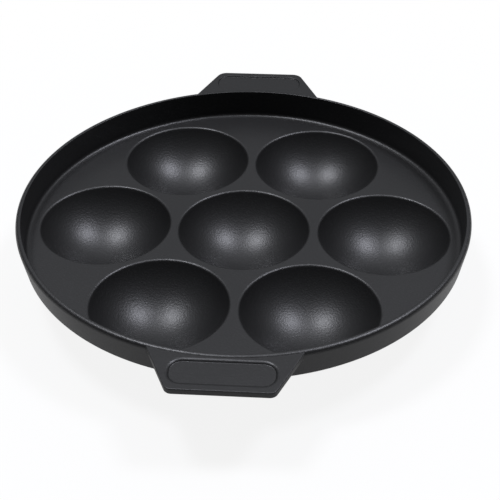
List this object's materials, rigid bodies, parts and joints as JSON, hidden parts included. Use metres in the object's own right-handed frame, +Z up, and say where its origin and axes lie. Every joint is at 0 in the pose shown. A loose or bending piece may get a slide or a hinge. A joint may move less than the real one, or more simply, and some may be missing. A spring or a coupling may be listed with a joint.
{
  "type": "aebleskiver pan",
  "caption": "Low round cast pan with hemispherical cups sunk in its plate, an upright rim and two short side handles.",
  "frame": {"origin": "on the surface that the pan stands on, under the middle of the middle cup", "axes": "+Z up; X along the row of three cups; Y through the two handles, with the front handle at -Y"},
  "size_m": [0.23, 0.2702, 0.0408],
  "materials": {
    "coated_casting": "dark grey non-stick coating, matt with a fine grain, over die-cast aluminium"
  },
  "bodies": {
    "root": {"plate": "coated_casting", "rim_wall": "coated_casting", "cup_centre": "coated_casting", "cup_right": "coated_casting", "cup_back_right": "coated_casting", "cup_back_left": "coated_casting", "cup_left": "coated_casting", "cup_front_left": "coated_casting", "cup_front_right": "coated_casting", "handle_front": "coated_casting", "handle_back": "coated_casting"}
  },
  "joints": []
}
